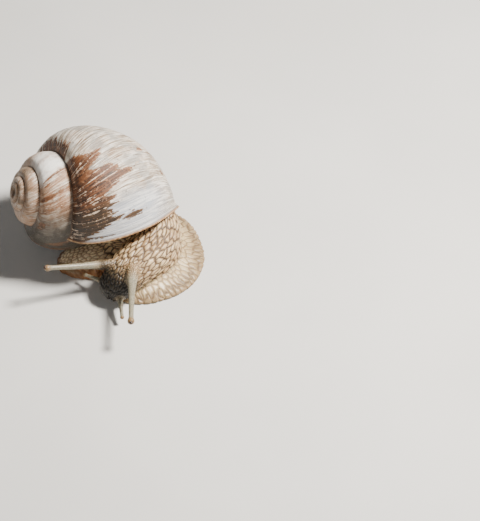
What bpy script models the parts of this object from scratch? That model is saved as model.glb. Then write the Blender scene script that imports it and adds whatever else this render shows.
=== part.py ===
"""Roman snail (Helix pomatia), a life-size still model in a turning pose.

The body is modelled whole from lofts, cleared from the shell and parted by thin cuts into
tail, foot, trunk, neck and head. The shell is one closed helico-spiral with a hollow mouth.
Lengths are in millimetres and are scaled to metres when a mesh is made. Sizes along the body
are given from the shell's apex, and the whole model is then set about its own centre.
"""

import math

import bmesh
import bpy
import numpy as np
from mathutils import Euler, Matrix, Vector

MM = 0.001
TAU = 2.0 * math.pi
GAP = 0.3

# The model's centre, seen from above, measured from the shell's apex.
CENTRE = (21.16, -6.09)

# Shell: its apex stands over (0, 0) and its axis runs down into the mouth.
APEX_HEIGHT = 20.2
SHELL_TURN = Euler((math.radians(70.0), math.radians(-19.3), math.radians(-69.9)), "XYZ")
WHORLS = 4.75
WHORL_RATIO = 1.621
CENTRE_RADIUS = 8.43
CENTRE_DEPTH = 25.47
DEPTH_POWER = 1.322
SECTION_WIDTH = 9.71
SECTION_HEIGHT = 15.24
SECTION_TILT = -0.49
SECTION_POWER = 1.81
MEAN_HALF_SECTION = 12.0
SHEAR = (0.627, -0.014, -0.132)
EARLY_SHRINK = 0.041
EARLY_TURN = 1.4 * math.pi
EARLY_BLEND = 1.3
LAST_STRETCH = 1.6
LAST_INWARD = -4.8
LAST_DROP = 0.17
LIP_FLARE = 0.0855
LIP_FLARE_TURN = 0.12
LIP_WALL = 1.0
CALLUS = 0.2
PILLAR_RADIUS = 1.6
PILLAR_PROFILE = ((1.6, -14.0), (1.6, -30.0), (2.6, -34.5), (5.6, -38.6), (6.4, -44.0))
NAVEL_RADIUS = 5.0
NAVEL_DEPTH = -34.5
NAVEL_START = -0.1 * math.pi
APEX_RADIUS = 0.35
APEX_RISE = 0.1
LEAD_STRETCH = 2.0
MOUTH_DEPTH = 0.55
MOUTH_PAST_LIP = 0.15
MANTLE_DEPTH = 0.16
MANTLE_OVERLAP = 0.05
OLD_WHORL_CORE = 0.3

# Ages, from one turn before the lip, of the two tubes that keep the whorl before the mouth.
OLD_WHORL_SPANS = ((-2.4, 0.4), (0.2, 2.2))

# Radians that the clearance shell starts ahead of the lip for each millimetre it is grown.
GROW_TURN = 1.0 / 15.0
GROW_DEPTH = 1.0 / 10.0

# Where the seam between whorls is looked for, as section angles, and how closely.
SEAM_SEARCH = (0.1, math.pi - 0.15)
SEARCH_STEPS = 80
SEARCH_HALVINGS = 30
ANGLE_GUESS = -0.7
ANGLE_ROUNDS = 12

# Facets: rings in a turn, strips above and below the shoulder line, points along lofts.
RINGS = 36
UPPER = 6
LOWER = 8
SECTION_POINTS = 26
PILLAR_SIDES = 10

# Foot, from the tail's tip round the bend to the front edge. Each row holds the place of the
# middle line, the reach of the outer and inner margins, the height of the back, and how much
# of each side is skirt.
FOOT = (
    (10.0, -5.3, 0.9, 0.9, 1.6, 0.42),
    (11.9, -4.4, 3.7, 3.6, 3.3, 0.42),
    (16.0, -2.7, 6.0, 6.2, 4.9, 0.42),
    (21.0, -0.8, 8.6, 7.2, 5.6, 0.42),
    (26.5, 1.4, 11.0, 6.4, 6.0, 0.44),
    (31.6, 1.4, 12.4, 4.6, 6.0, 0.44),
    (34.9, -1.8, 8.7, 4.4, 6.0, 0.64),
    (34.3, -6.4, 7.2, 4.6, 5.8, 0.76),
    (31.0, -9.9, 5.8, 4.8, 5.2, 0.74),
    (27.0, -12.0, 4.4, 4.2, 4.3, 0.68),
    (23.7, -13.1, 2.3, 2.4, 3.0, 0.60),
)
FOOT_RINGS = 34
MARGIN_HEIGHT = 1.0
LOW_MARGIN_BACK = 3.0
MARGIN_UNDERCUT = 0.35
GROOVE_HEIGHT = 3.0
LOW_GROOVE_BACK = 4.0
SKIRT = 6.0
SKIRT_BEND = ((0.2, 1.25, 0.0), (0.6, 0.65, 0.5))
BACK_ROUNDING = 0.9
BACK_STEPS = 6

# Neck and head: middle line, half-width, and half-height above and below that line.
NECK = (
    (27.5, 5.5, 11.5, 5.6, 5.0, 5.0),
    (30.7, 2.4, 9.8, 5.8, 4.6, 5.6),
    (32.2, -1.8, 8.4, 5.6, 4.4, 5.2),
    (30.9, -5.8, 7.6, 5.6, 4.3, 4.6),
    (28.3, -8.8, 6.9, 5.5, 4.2, 4.2),
    (25.9, -11.4, 6.2, 4.9, 3.9, 3.9),
    (24.0, -13.4, 5.2, 4.4, 3.6, 3.8),
    (22.8, -14.8, 3.9, 4.0, 2.9, 3.0),
    (22.1, -15.9, 2.8, 2.7, 2.0, 2.0),
    (21.8, -16.4, 2.3, 1.2, 0.9, 0.9),
)
NECK_RINGS = 28
NECK_SIDES = 18

# The trunk rises from the foot into the shell's mouth.
TRUNK_FOOT = (27.0, 3.2, 1.5)
TRUNK_TOP = (25.0, 2.0, 13.0)
TRUNK_RADII = (9.0, 6.5)
TRUNK_RINGS = 5
TRUNK_SIDES = 20

# Feelers: root inside the head, tip, and radii at root, mid length and tip.
FEELERS = {
    "feeler_upper_right": ((23.1, -11.0, 8.0), (6.9, -15.8, 11.6), (1.35, 0.64, 0.70)),
    "feeler_upper_left": ((26.7, -11.6, 8.6), (26.2, -30.0, 8.6), (1.75, 0.56, 0.76)),
    "feeler_lower_right": ((21.6, -13.4, 4.0), (15.7, -9.4, 3.0), (0.85, 0.38, 0.46)),
    "feeler_lower_left": ((23.6, -14.9, 3.9), (24.4, -22.6, 2.2), (0.95, 0.40, 0.48)),
}
FLARE_END = 0.28
SHAFT_TAPER = (1.15, 0.80)
BULB_PLACE = 0.955
BULB_LENGTH = 0.04

# Rings along a feeler's shaft, then share of its length and of its radius at the rounded end.
FEELER_RINGS = 9
FEELER_SHAFT = 0.94
FEELER_END = ((0.965, 1.0), (0.985, 0.92), (1.0, 0.65))
FEELER_SIDES = 12
EYE_RADIUS = 0.42
EYE_STEPS = (0.0, 0.45, 0.8, 0.97)

# The cuts that part the body, as boxes: lowest and highest corner.
TAIL_BOX = ((0.0, -10.3, -2.0), (20.2, 20.0, 7.6))
SOLE_BOX = ((15.0, -30.0, -2.0), (60.0, 30.0, 3.0))
MIDDLE_BOX = ((15.0, -2.5, -2.0), (60.0, 30.0, 4.0))
NECK_CUT = ((33.2, -0.8), -66.0)
NECK_BOX = ((0.0, -21.0, 0.0), (25.0, 12.0, 12.6))
HEAD_CUT = ((28.0, -11.2), -140.0)
HEAD_BOX = ((0.0, -14.0, 0.0), (25.0, 14.0, 12.6))

PAINTS = {
    "shell": ((0.62, 0.55, 0.48), 0.45),
    "skin": ((0.55, 0.44, 0.32), 0.5),
    "pale_skin": ((0.60, 0.53, 0.42), 0.5),
    "feeler": ((0.52, 0.48, 0.42), 0.45),
    "eye": ((0.03, 0.02, 0.02), 0.2),
}


def material(name):
    """A plain Principled material for one of the model's surfaces."""
    if name in bpy.data.materials:
        return bpy.data.materials[name]
    colour, roughness = PAINTS[name]
    paint = bpy.data.materials.new(name)
    paint.use_nodes = True
    shader = paint.node_tree.nodes["Principled BSDF"]
    shader.inputs["Base Color"].default_value = (*colour, 1.0)
    shader.inputs["Roughness"].default_value = roughness
    shader.inputs["Metallic"].default_value = 0.0
    paint.diffuse_color = (*colour, 1.0)
    return paint


def solid(name, points, faces, paint="skin"):
    """An object from points in millimetres, with its faces turned outward."""
    mesh = bpy.data.meshes.new(name)
    mesh.from_pydata([tuple(p) for p in np.asarray(points) * MM], [], faces)
    shape = bmesh.new()
    shape.from_mesh(mesh)
    bmesh.ops.remove_doubles(shape, verts=shape.verts, dist=1e-6)
    bmesh.ops.recalc_face_normals(shape, faces=shape.faces)
    shape.to_mesh(mesh)
    shape.free()
    mesh.materials.append(material(paint))
    mesh.shade_smooth()
    obj = bpy.data.objects.new(name, mesh)
    bpy.context.scene.collection.objects.link(obj)
    return obj


def boolean(target, other, operation, keep=False):
    """Applies one Boolean to the target; the other object goes unless it is kept.

    The solver is MANIFOLD, because EXACT leaves open edges where whorl meets whorl and where
    the clearance shell's thin facets graze the body."""
    step = target.modifiers.new(operation.lower(), "BOOLEAN")
    step.operation = operation
    step.solver = "MANIFOLD"
    step.object = other
    graph = bpy.context.evaluated_depsgraph_get()
    mesh = bpy.data.meshes.new_from_object(target.evaluated_get(graph))
    target.modifiers.clear()
    target.data = mesh
    if not keep:
        bpy.data.objects.remove(other)
    return target


def copy_of(obj, name):
    """A free copy of an object with its own mesh."""
    twin = bpy.data.objects.new(name, obj.data.copy())
    bpy.context.scene.collection.objects.link(twin)
    return twin


def block(low, high, grow=0.0, turn=0.0, about=(0.0, 0.0)):
    """A box between two corners, turned about a vertical line through a point of the plan."""
    cos, sin = math.cos(math.radians(turn)), math.sin(math.radians(turn))
    points = []
    for x in (low[0] - grow, high[0] + grow):
        for y in (low[1] - grow, high[1] + grow):
            for z in (low[2] - grow, high[2] + grow):
                points.append((about[0] + x * cos - y * sin, about[1] + x * sin + y * cos, z))
    faces = [(0, 1, 3, 2), (4, 6, 7, 5), (0, 4, 5, 1), (2, 3, 7, 6), (0, 2, 6, 4), (1, 5, 7, 3)]
    return solid("block", points, faces)


def split(obj, inner_name, low, high, **turned):
    """Cuts a box's content off an object, leaving a thin gap. Returns the piece inside."""
    inner = copy_of(obj, inner_name)
    boolean(inner, block(low, high, **turned), "INTERSECT")
    boolean(obj, block(low, high, grow=GAP, **turned), "DIFFERENCE")
    return inner


def spline(rows, count):
    """Points evenly spaced in parameter on a smooth curve through every row."""
    rows = np.asarray(rows, float)
    ends = np.vstack([2 * rows[0] - rows[1], rows, 2 * rows[-1] - rows[-2]])
    place = np.linspace(0.0, len(rows) - 1.0, count)
    start = np.minimum(place.astype(int), len(rows) - 2)
    t = (place - start)[:, None]
    a, b, c, d = (ends[start + i] for i in range(4))
    return 0.5 * (2 * b + (c - a) * t + (2 * a - 5 * b + 4 * c - d) * t**2
                  + (3 * b - a - 3 * c + d) * t**3)


def skin_over(rings, paint="skin", name="loft"):
    """A closed solid over rings of equal length, each end closed to its middle."""
    sides = len(rings[0])
    faces = []
    for i in range(len(rings) - 1):
        for j in range(sides):
            k = (j + 1) % sides
            faces.append((i * sides + j, i * sides + k, (i + 1) * sides + k, (i + 1) * sides + j))
    points = list(np.concatenate(rings))
    for first in (0, (len(rings) - 1) * sides):
        points.append(np.mean(points[first:first + sides], axis=0))
        for j in range(sides):
            faces.append((first + j, first + (j + 1) % sides, len(points) - 1))
    return solid(name, points, faces, paint)


# ---- shell ---------------------------------------------------------------------------------


def shear(angle):
    """How far round the axis a growth line runs ahead at an angle of the section."""
    return SHEAR[0] * np.sin(angle) + SHEAR[1] * np.cos(angle) + SHEAR[2] * np.sin(2 * angle)


def section_frame(age):
    """Radius and depth of the section's centre, and its size, at an age of zero at the lip."""
    age = np.minimum(age, 0.0)
    early = 0.5 - 0.5 * np.tanh((age + EARLY_TURN) / EARLY_BLEND)
    growth = np.exp(math.log(WHORL_RATIO) / TAU * age - EARLY_SHRINK * early)
    last = np.clip((age + LAST_STRETCH) / LAST_STRETCH, 0.0, None) ** 2
    radius = CENTRE_RADIUS * growth + LAST_INWARD * last
    depth = -CENTRE_DEPTH * growth**DEPTH_POWER - LAST_DROP * last
    return radius, depth, growth * (1.0 + LIP_FLARE * np.exp(age / LIP_FLARE_TURN))


def section_point(age, angle, offset=0.0):
    """Distance from the axis and height of a point of the whorl's surface, moved outward."""
    radius, depth, size = section_frame(age)
    size = size + offset / MEAN_HALF_SECTION
    cos, sin = np.cos(angle), np.sin(angle)
    x = SECTION_WIDTH * np.sign(cos) * np.abs(cos) ** (2.0 / SECTION_POWER)
    y = SECTION_HEIGHT * np.sign(sin) * np.abs(sin) ** (2.0 / SECTION_POWER)
    tilt_cos, tilt_sin = math.cos(SECTION_TILT), math.sin(SECTION_TILT)
    return radius + size * (x * tilt_cos - y * tilt_sin), depth + size * (x * tilt_sin + y * tilt_cos)


def in_section(r, z, turn, offset):
    """Below zero inside the whorl at this turn about the axis; also the angle there."""
    tilt_cos, tilt_sin = math.cos(SECTION_TILT), math.sin(SECTION_TILT)
    angle = np.full_like(r, ANGLE_GUESS)
    for _ in range(ANGLE_ROUNDS):
        radius, depth, size = section_frame(turn - shear(angle))
        size = size + offset / MEAN_HALF_SECTION
        across, up = (r - radius) / size, (z - depth) / size
        x = (across * tilt_cos + up * tilt_sin) / SECTION_WIDTH
        y = (up * tilt_cos - across * tilt_sin) / SECTION_HEIGHT
        half = SECTION_POWER / 2.0
        angle = np.arctan2(np.sign(y) * np.abs(y) ** half, np.sign(x) * np.abs(x) ** half)
    return np.abs(x) ** SECTION_POWER + np.abs(y) ** SECTION_POWER - 1.0, angle


def first_crossing(measure, start, end, count):
    """The first angle from start to end at which each ring's measure turns negative."""
    grid = np.linspace(start, end, SEARCH_STEPS)
    values = np.stack([measure(np.full(count, a)) for a in grid])
    hit = np.argmax(values < 0, axis=0)
    low, high = grid[np.maximum(hit - 1, 0)], grid[hit]
    for _ in range(SEARCH_HALVINGS):
        middle = 0.5 * (low + high)
        inside = measure(middle) < 0
        high = np.where(inside, middle, high)
        low = np.where(inside, low, middle)
    return 0.5 * (low + high)


def seam_angle(turn, lean, grow):
    """The angle at which whorls at these turns meet the whorl before, on its outer side."""
    def measure(angle):
        at = turn + lean * shear(angle)
        r, z = section_point(at - shear(angle), angle, grow)
        return in_section(r, z, at - TAU, grow)[0]
    return first_crossing(measure, *SEAM_SEARCH, len(turn))


def radius_angle(turn, radius, start, grow):
    """The angle at which whorls at these turns come in to a distance from the axis."""
    def measure(angle):
        return section_point(turn - shear(angle), angle, grow)[0] - radius
    return first_crossing(measure, start, math.copysign(math.pi, start), len(turn))


def smooth(x):
    """Zero below zero, one above one, and an easy slope between."""
    x = np.clip(x, 0.0, 1.0)
    return x * x * (3.0 - 2.0 * x)


def on_shell(r, z, turn):
    """A point at a turn about the shell's axis, in the shell's own frame."""
    return np.stack([r * np.cos(turn), -r * np.sin(turn), z], -1)


class Rings:
    """The whorls as rings across the spiral, each from its upper seam to its lower one.

    Rings of the last whorl run on past the shoulder to the pillar at the base. Towards the
    lip the rings lean over until the last one lies along a growth line."""

    def __init__(self, grow):
        self.grow = grow
        self.count = int(round(WHORLS * RINGS))
        self.last = self.count - RINGS
        self.turn = grow * GROW_TURN - TAU / RINGS * np.arange(self.count, -1, -1.0)
        self.lean = smooth((self.turn + LAST_STRETCH) / LAST_STRETCH)
        self.top = np.zeros(self.count + 1)
        self.top[:RINGS] = radius_angle(self.turn[:RINGS], APEX_RADIUS, SEAM_SEARCH[0], grow)
        self.top[RINGS:] = seam_angle(self.turn[RINGS:], self.lean[RINGS:], grow)
        self.seam_turn = self.turn + self.lean * shear(self.top)
        r, z = section_point(self.seam_turn - shear(self.top), self.top, grow)
        self.below = in_section(r, z, self.seam_turn - TAU, grow)[1]
        self.reach = PILLAR_RADIUS + (NAVEL_RADIUS - PILLAR_RADIUS) * self.lean
        self.base = radius_angle(self.turn, self.reach, NAVEL_START, grow)

    def ring(self, k):
        """Angles and turns of one ring's points, from its upper seam on."""
        share = np.linspace(0.0, 1.0, UPPER + 1)
        if k < self.last:
            angle = self.top[k] + (self.below[k + RINGS] - self.top[k]) * share
            lead = self.seam_turn[k + RINGS] - self.turn[k + RINGS]
            return angle, self.turn[k] + lead * share**2
        shoulder = self.below[self.count]
        lead = self.seam_turn[self.count] - self.turn[self.count]
        lead *= 1.0 - smooth((self.turn[k] - self.turn[self.last]) / LEAD_STRETCH)
        lower = np.linspace(0.0, 1.0, LOWER + 1)[1:]
        upper_angle = self.top[k] + (shoulder - self.top[k]) * share
        lower_angle = shoulder + (self.base[k] - shoulder) * lower
        angle = np.concatenate([upper_angle, lower_angle])
        lead = lead * np.concatenate([share**2, (1.0 - lower) ** 2])
        return angle, self.turn[k] + self.lean[k] * shear(angle) + lead


def whorl_surface(grow):
    """Points and faces of the closed shell, its mouth still filled."""
    rings = Rings(grow)
    points, faces, index = [], [], []

    def add(point):
        points.append(point)
        return len(points) - 1

    for k in range(rings.count + 1):
        angle, turn = rings.ring(k)
        r, z = section_point(turn - shear(angle), angle, grow)
        shared = [index[k - RINGS][UPPER]] if k >= RINGS else []
        index.append(shared + [add(point) for point in on_shell(r, z, turn)[len(shared):]])
    for k in range(rings.count):
        for j in range(min(len(index[k]), len(index[k + 1])) - 1):
            faces.append((index[k][j], index[k][j + 1], index[k + 1][j + 1], index[k + 1][j]))

    rim = [row[0] for row in index[:RINGS + 1]] + index[0][::-1][1:]
    apex = add(np.mean([points[i] for i in rim], axis=0) + np.array([0.0, 0.0, APEX_RISE]))
    faces += [(a, b, apex) for a, b in zip(rim, rim[1:])]

    base = [row[-1] for row in index[rings.last:]]
    navel = add(np.array([0.0, 0.0, NAVEL_DEPTH - grow]))
    faces += [(a, b, navel) for a, b in zip(base, base[1:] + base[:1])]

    mouth = index[rings.count] + index[rings.last][UPPER + 1:][::-1]
    centre = add(np.mean([points[i] for i in index[rings.count - 1][1:-2]], axis=0))
    faces += [(a, b, centre) for a, b in zip(mouth, mouth[1:] + mouth[:1])]
    return points, faces


def growth_line(age, offset, core):
    """One growth line of the whorl as a closed ring in the shell's own frame."""
    angle = np.linspace(0.0, TAU, SECTION_POINTS, endpoint=False)
    r, z = section_point(age, angle, offset)
    return on_shell(np.maximum(r, core), z, age + shear(angle))


def whorl_tube(start, end, offset, core=0.0, name="whorls"):
    """A closed tube along the spiral, between two ages in radians before the lip."""
    count = max(2, int(round((end - start) / TAU * RINGS)))
    ages = np.linspace(start, end, count + 1)
    return skin_over([place_shell(growth_line(age, offset, core)) for age in ages], "shell", name)


def make_pillar(grow):
    """The pillar about the shell's axis, widening at its foot into the floor of the navel."""
    turns = np.linspace(0.0, TAU, PILLAR_SIDES, endpoint=False)
    rings = [place_shell(on_shell(np.full(PILLAR_SIDES, r + grow), np.full(PILLAR_SIDES, z), turns))
             for r, z in PILLAR_PROFILE]
    return skin_over(rings, "shell", "pillar")


def make_mouth(grow):
    """The hollow behind the lip, without the whorl before it and the pillar."""
    start = -MOUTH_DEPTH + grow * GROW_DEPTH
    mouth = whorl_tube(start, MOUTH_PAST_LIP, -LIP_WALL - grow, 0.0, "mouth")
    inner = grow + CALLUS
    for start, end in OLD_WHORL_SPANS:
        old_whorl = whorl_tube(start - TAU, end - TAU, inner, OLD_WHORL_CORE)
        boolean(mouth, old_whorl, "DIFFERENCE")
    return boolean(mouth, make_pillar(inner), "DIFFERENCE")


def make_shell(name="shell", grow=0.0):
    """The shell as one closed solid; grow thickens it all round, to clear the flesh."""
    points, faces = whorl_surface(grow)
    shell = solid(name, place_shell(points), faces, "shell")
    return boolean(shell, make_mouth(grow), "DIFFERENCE")


def place_shell(points):
    """Points of the shell's own frame, turned and lifted to where the shell sits."""
    turn = np.array(SHELL_TURN.to_matrix())
    return np.asarray(points) @ turn.T + np.array([0.0, 0.0, APEX_HEIGHT])


def make_mantle():
    """The flesh that fills the shell's mouth, a little too large before it is cleared."""
    start = -MOUTH_DEPTH - MANTLE_OVERLAP
    mantle = whorl_tube(start, -MANTLE_DEPTH, -0.5 * LIP_WALL, 0.0, "mantle")
    return boolean(mantle, make_pillar(LIP_WALL), "DIFFERENCE")


# ---- body ----------------------------------------------------------------------------------


def foot_ring(row, heading):
    """The foot's cross-section: flat sole, thin margins, skirts, and the back between.

    Towards the tail's tip, where the back is low, groove and margin come down with it."""
    x, y, outer, inner, back, skirt_share = row
    across = np.array([-heading[1], heading[0]])
    groove = GROOVE_HEIGHT * min(1.0, back / LOW_GROOVE_BACK)
    margin = MARGIN_HEIGHT * min(1.0, back / LOW_MARGIN_BACK)
    half = []
    for reach in (outer, inner):
        skirt = min(SKIRT, skirt_share * reach)
        side = [(reach - MARGIN_UNDERCUT, 0.0), (reach, 0.5 * margin)]
        for share, of_margin, of_groove in SKIRT_BEND:
            side.append((reach - share * skirt, of_margin * margin + of_groove * groove))
        side.append((reach - skirt, groove))
        for step in range(1, BACK_STEPS):
            turn = 0.5 * math.pi * step / BACK_STEPS
            lift = groove + (back - groove) * math.sin(turn) ** BACK_ROUNDING
            side.append(((reach - skirt) * math.cos(turn), lift))
        half.append(side)
    profile = half[0] + [(0.0, back)] + [(-q, z) for q, z in half[1][::-1]] + [(0.0, 0.0)]
    return np.array([(x + q * across[0], y + q * across[1], z) for q, z in profile])


def make_foot():
    rows = spline(FOOT, FOOT_RINGS)
    headings = np.gradient(rows[:, :2], axis=0)
    headings /= np.linalg.norm(headings, axis=1)[:, None]
    return skin_over([foot_ring(row, heading) for row, heading in zip(rows, headings)])


def frame_along(heading):
    """Sideways and upward unit vectors square to a heading."""
    forward = Vector(heading).normalized()
    side = forward.cross(Vector((0.0, 0.0, 1.0))).normalized()
    return side, side.cross(forward)


def round_ring(centre, heading, half_width, above, below, sides):
    """A closed ring square to a heading, with its own half-heights above and below."""
    side, up = frame_along(heading)
    ring = []
    for step in range(sides):
        turn = TAU * step / sides
        cos, sin = math.cos(turn), math.sin(turn)
        half_height = above if sin > 0 else below
        ring.append(tuple(Vector(centre) + side * half_width * cos + up * half_height * sin))
    return np.array(ring)


def make_neck():
    """Neck and head: one tube along a bent line, lower half deeper than the upper."""
    rows = spline(NECK, NECK_RINGS)
    headings = np.gradient(rows[:, :3], axis=0)
    return skin_over([round_ring(row[:3], heading, *row[3:], NECK_SIDES)
                      for row, heading in zip(rows, headings)])


def make_trunk():
    low, high = np.array(TRUNK_FOOT), np.array(TRUNK_TOP)
    turns = np.linspace(0.0, TAU, TRUNK_SIDES, endpoint=False)
    rings = []
    for share in np.linspace(0.0, 1.0, TRUNK_RINGS):
        centre = low + (high - low) * share
        x = centre[0] + TRUNK_RADII[0] * np.cos(turns)
        y = centre[1] + TRUNK_RADII[1] * np.sin(turns)
        rings.append(np.stack([x, y, np.full(TRUNK_SIDES, centre[2])], -1))
    return skin_over(rings)


def make_body():
    """The whole body in one piece, cleared from the shell."""
    body = make_foot()
    for piece in (make_trunk(), make_neck(), make_mantle()):
        boolean(body, piece, "UNION")
    return boolean(body, make_shell("clearance", GAP), "DIFFERENCE")


def feeler_radius(share, radii):
    """Flared at the root, ever more slender along the shaft and swollen at the tip."""
    root, shaft, tip = radii
    flare = 1.0 / (1.0 + (share / FLARE_END) ** 4)
    bulb = math.exp(-(((share - BULB_PLACE) / BULB_LENGTH) ** 2))
    start, end = (part * shaft for part in SHAFT_TAPER)
    return start + (end - start) * share + (root - start) * flare + (tip - end) * bulb


def make_feeler(name, root, tip, radii):
    """A feeler from inside the head to its rounded tip."""
    root, tip = Vector(root), Vector(tip)
    shares = [FEELER_SHAFT * i / FEELER_RINGS for i in range(FEELER_RINGS + 1)]
    rings = []
    for share, scale in [(share, 1.0) for share in shares] + list(FEELER_END):
        radius = feeler_radius(share, radii) * scale
        rings.append(round_ring(root.lerp(tip, share), tip - root, radius, radius, radius,
                                FEELER_SIDES))
    return skin_over(rings, "feeler", name)


def add_feeler(name, body, root, tip, radii):
    """A feeler trimmed to the head's surface, then moved out by the gap."""
    feeler = make_feeler(name, root, tip, radii)
    boolean(feeler, body, "DIFFERENCE", keep=True)
    outward = (Vector(tip) - Vector(root)).normalized()
    for vertex in feeler.data.vertices:
        vertex.co += outward * GAP * MM
    return feeler


def make_eye(name, root, tip, radii):
    """The eye, a small dome on the flat end of an upper feeler."""
    root, tip = Vector(root), Vector(tip)
    forward = (tip - root).normalized()
    rings = []
    for share in EYE_STEPS:
        radius = EYE_RADIUS * math.sqrt(1.0 - share**2)
        centre = tip + forward * (2.0 * GAP + share * EYE_RADIUS)
        rings.append(round_ring(centre, forward, radius, radius, radius, FEELER_SIDES))
    return skin_over(rings, "eye", name)


def set_about_centre():
    """Moves every piece so that the model's centre is over the origin."""
    for obj in bpy.data.objects:
        obj.data.transform(Matrix.Translation((-CENTRE[0] * MM, -CENTRE[1] * MM, 0.0)))


def make_all():
    make_shell()
    body = make_body()
    for name, shape in FEELERS.items():
        add_feeler(name, body, *shape)
    split(body, "tail", *TAIL_BOX)
    front = split(body, "foot_front", *SOLE_BOX)
    split(front, "foot_rear", *MIDDLE_BOX)
    neck = split(body, "neck", *NECK_BOX, about=NECK_CUT[0], turn=NECK_CUT[1])
    split(neck, "head", *HEAD_BOX, about=HEAD_CUT[0], turn=HEAD_CUT[1])
    body.name = "trunk"
    for side in ("left", "right"):
        make_eye("eye_" + side, *FEELERS["feeler_upper_" + side])
    set_about_centre()


for old in list(bpy.data.objects):
    bpy.data.objects.remove(old, do_unlink=True)
make_all()
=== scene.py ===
import math

import bmesh
import bpy
import numpy as np
from mathutils import Euler, Matrix, Vector, kdtree, noise


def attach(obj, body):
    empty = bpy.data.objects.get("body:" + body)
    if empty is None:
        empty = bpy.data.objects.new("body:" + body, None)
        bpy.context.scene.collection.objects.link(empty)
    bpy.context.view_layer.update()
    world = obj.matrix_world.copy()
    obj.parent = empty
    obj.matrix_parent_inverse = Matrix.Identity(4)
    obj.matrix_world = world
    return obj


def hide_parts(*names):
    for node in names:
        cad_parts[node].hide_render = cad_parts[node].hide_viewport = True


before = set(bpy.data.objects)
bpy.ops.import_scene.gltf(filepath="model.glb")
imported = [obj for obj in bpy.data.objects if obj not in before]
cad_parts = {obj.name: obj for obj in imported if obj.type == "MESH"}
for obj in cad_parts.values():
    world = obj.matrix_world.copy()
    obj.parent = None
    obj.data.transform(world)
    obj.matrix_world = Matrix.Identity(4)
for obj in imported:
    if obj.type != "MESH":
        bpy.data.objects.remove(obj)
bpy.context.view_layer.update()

MM = 0.001
TAU = 2.0 * math.pi
CENTRE = (21.16, -6.09)

# ---- Shell: the same spiral as the solids', with finer facets
# Ages are turns about the shell's axis in radians: 0 at the lip and below zero back to the
# apex. Angles go round the whorl's section: 0 on its outside, above zero toward the seam with
# the whorl before, and below zero toward the base.

APEX = np.array([-CENTRE[0], -CENTRE[1], 20.2])
SHELL_TURN = Euler((math.radians(70.0), math.radians(-19.3), math.radians(-69.9)), "XYZ")
WHORLS = 4.75
WHORL_RATIO = 1.621
CENTRE_RADIUS = 8.43
CENTRE_DEPTH = 25.47
DEPTH_POWER = 1.322
SECTION_WIDTH = 9.71
SECTION_HEIGHT = 15.24
SECTION_TILT = -0.49
TILT_COS, TILT_SIN = math.cos(SECTION_TILT), math.sin(SECTION_TILT)
SECTION_POWER = 1.81
MEAN_HALF_SECTION = 12.0
SHEAR = (0.627, -0.014, -0.132)
EARLY_SHRINK = 0.041
EARLY_TURN = 1.4 * math.pi
EARLY_BLEND = 1.3
LAST_STRETCH = 1.6
LAST_INWARD = -4.8
LAST_DROP = 0.17
LIP_FLARE = 0.0855
LIP_FLARE_TURN = 0.12
LIP_WALL = 1.0
CALLUS = 0.2
PILLAR_RADIUS = 1.6
PILLAR_PROFILE = ((1.6, -14.0), (1.6, -30.0), (2.6, -34.5), (5.6, -38.6), (6.4, -44.0))
NAVEL_RADIUS = 5.0
NAVEL_DEPTH = -34.5
APEX_RADIUS = 0.35
APEX_RISE = 0.1
LEAD_STRETCH = 2.0
MOUTH_DEPTH = 0.55
MANTLE_DEPTH = 0.16
PILLAR_SIDES = 40
GAP = 0.3
SECTION_ROUNDS = 12
CROSSING_STEPS = 80
CROSSING_ROUNDS = 30
BALL_RINGS = 15
BALL_SIDES = 32
NOISE_CELLS = 128

# The callus that closes the navel: its middle, the way it faces, and its half-widths.
PLUG = (13.90, 12.05, 11.62)
PLUG_WAY = (0.963, -0.170, 0.208)
PLUG_RADII = (1.08, 2.25, 1.85)
PLUG_SPREAD = 1.5
PLUG_BLEND = 0.5
PLUG_ROUNDS = 14

# Rings to a whorl, points across its upper and lower side, and points round a whole section.
FINE = {"rings": 400, "upper": 34, "lower": 44, "points": 150}
PLAIN = {"rings": 72, "upper": 10, "lower": 14, "points": 50}


def smooth(x):
    """Zero below zero, one above one, and an easy slope between."""
    x = np.clip(x, 0.0, 1.0)
    return x * x * (3.0 - 2.0 * x)


def new_object(name, data):
    obj = bpy.data.objects.new(name, data)
    bpy.context.scene.collection.objects.link(obj)
    return obj


def solid(name, points, faces):
    """An object from points in millimetres, with its faces turned outward."""
    mesh = bpy.data.meshes.new(name)
    mesh.from_pydata([tuple(p) for p in np.asarray(points) * MM], [], faces)
    shape = bmesh.new()
    shape.from_mesh(mesh)
    bmesh.ops.remove_doubles(shape, verts=shape.verts, dist=1e-6)
    bmesh.ops.recalc_face_normals(shape, faces=shape.faces)
    shape.to_mesh(mesh)
    shape.free()
    mesh.shade_smooth()
    return new_object(name, mesh)


def apply_modifiers(obj):
    """Replaces the object's mesh by its evaluated one."""
    graph = bpy.context.evaluated_depsgraph_get()
    mesh = bpy.data.meshes.new_from_object(obj.evaluated_get(graph))
    obj.modifiers.clear()
    old, obj.data = obj.data, mesh
    bpy.data.meshes.remove(old)
    return obj


def boolean(target, other, operation):
    """Applies one Boolean to the target and removes the other object."""
    step = target.modifiers.new(operation.lower(), "BOOLEAN")
    step.operation = operation
    step.solver = "MANIFOLD"
    step.object = other
    apply_modifiers(target)
    bpy.data.objects.remove(other)
    return target


def skin_over(rings, name):
    """A closed solid over rings of equal length, each end closed to its middle."""
    sides = len(rings[0])
    faces = []
    for i in range(len(rings) - 1):
        for j in range(sides):
            k = (j + 1) % sides
            faces.append((i * sides + j, i * sides + k, (i + 1) * sides + k, (i + 1) * sides + j))
    points = list(np.concatenate(rings))
    for first in (0, (len(rings) - 1) * sides):
        points.append(np.mean(points[first:first + sides], axis=0))
        for j in range(sides):
            faces.append((first + j, first + (j + 1) % sides, len(points) - 1))
    return solid(name, points, faces)


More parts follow.
